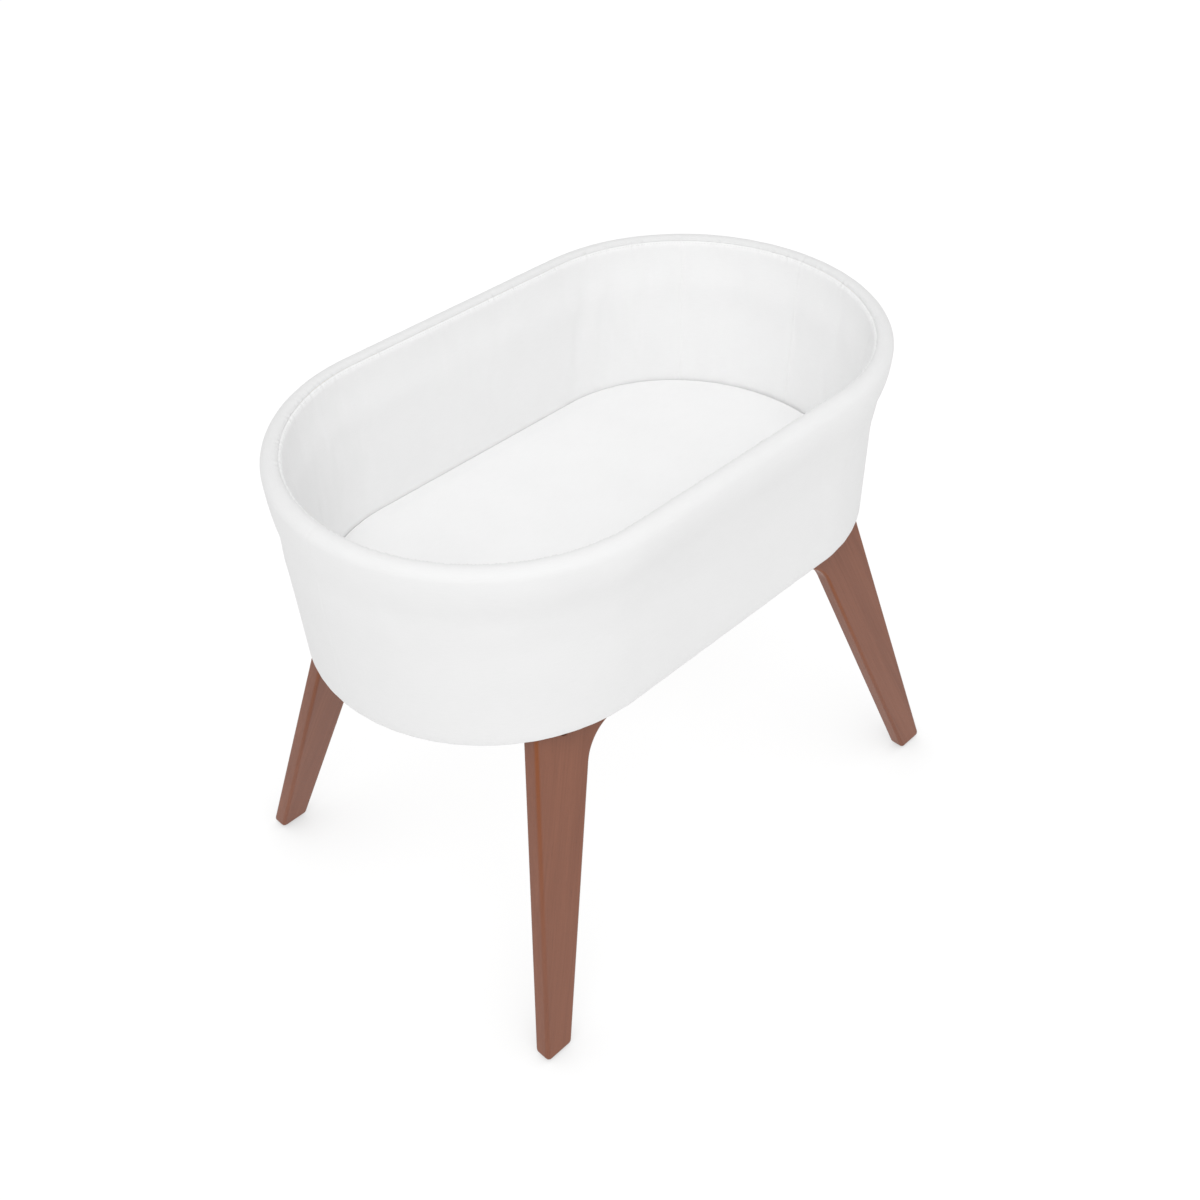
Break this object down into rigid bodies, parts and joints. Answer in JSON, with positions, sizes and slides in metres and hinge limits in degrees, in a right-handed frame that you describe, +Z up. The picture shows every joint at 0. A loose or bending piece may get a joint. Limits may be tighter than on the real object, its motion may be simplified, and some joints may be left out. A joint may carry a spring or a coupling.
{
  "type": "bassinet on stand",
  "caption": "Oval upholstered bassinet with a padded rim and a mattress, on a splayed wooden stand.",
  "frame": {"origin": "on the floor, under the middle of the basket", "axes": "+X along the basket's length, +Y across it from the front long side to the back one, +Z up"},
  "size_m": [0.85, 0.5838, 0.705],
  "materials": {
    "walnut_wood": "satin",
    "plain_wood": "matte",
    "zinc_steel": "satin",
    "nylon": "matte",
    "shell_plastic": "matte",
    "foam": "matte",
    "cover_fabric": "matte",
    "liner_fabric": "matte",
    "mattress_fabric": "matte",
    "dust_cloth": "matte"
  },
  "bodies": {
    "stand": {"leg_front_left": "walnut_wood", "leg_front_right": "walnut_wood", "leg_back_left": "walnut_wood", "leg_back_right": "walnut_wood", "side_rail_front": "walnut_wood", "side_rail_back": "walnut_wood", "cross_rail_left": "walnut_wood", "cross_rail_right": "walnut_wood", "foot_pad_front_left": "nylon", "foot_pad_front_right": "nylon", "foot_pad_back_left": "nylon", "foot_pad_back_right": "nylon", "bolt_front_left_outer": "zinc_steel", "bolt_front_left_inner": "zinc_steel", "bolt_front_right_outer": "zinc_steel", "bolt_front_right_inner": "zinc_steel", "bolt_back_left_outer": "zinc_steel", "bolt_back_left_inner": "zinc_steel", "bolt_back_right_outer": "zinc_steel", "bolt_back_right_inner": "zinc_steel", "barrel_nut_front_left_outer": "zinc_steel", "barrel_nut_front_left_inner": "zinc_steel", "barrel_nut_front_right_outer": "zinc_steel", "barrel_nut_front_right_inner": "zinc_steel", "barrel_nut_back_left_outer": "zinc_steel", "barrel_nut_back_left_inner": "zinc_steel", "barrel_nut_back_right_outer": "zinc_steel", "barrel_nut_back_right_inner": "zinc_steel", "dowel_front_left_lower": "plain_wood", "dowel_front_left_upper": "plain_wood", "dowel_front_right_lower": "plain_wood", "dowel_front_right_upper": "plain_wood", "dowel_back_left_lower": "plain_wood", "dowel_back_left_upper": "plain_wood", "dowel_back_right_lower": "plain_wood", "dowel_back_right_upper": "plain_wood", "pin_socket_front_left": "nylon", "pin_socket_front_right": "nylon", "pin_socket_back_left": "nylon", "pin_socket_back_right": "nylon"},
    "basket": {"base_board": "plain_wood", "wall_shell": "shell_plastic", "outer_padding": "foam", "inner_padding": "foam", "rim_padding": "foam", "outer_cover": "cover_fabric", "inner_liner": "liner_fabric", "dust_cover": "dust_cloth", "locating_pin_front_left": "zinc_steel", "locating_pin_front_right": "zinc_steel", "locating_pin_back_left": "zinc_steel", "locating_pin_back_right": "zinc_steel", "wall_screw_left_end": "zinc_steel", "wall_screw_right_end": "zinc_steel", "wall_screw_front_left": "zinc_steel", "wall_screw_front_right": "zinc_steel", "wall_screw_back_left": "zinc_steel", "wall_screw_back_right": "zinc_steel"},
    "mattress": {"mattress_core": "foam", "mattress_cover": "mattress_fabric"}
  },
  "joints": [
    {"name": "basket_lift", "type": "slide", "parent": "stand", "child": "basket", "axis": [0, 0, 1], "range_m": [0, 0.25]},
    {"name": "mattress_lift", "type": "slide", "parent": "basket", "child": "mattress", "axis": [0, 0, 1], "range_m": [0, 0.3]}
  ]
}
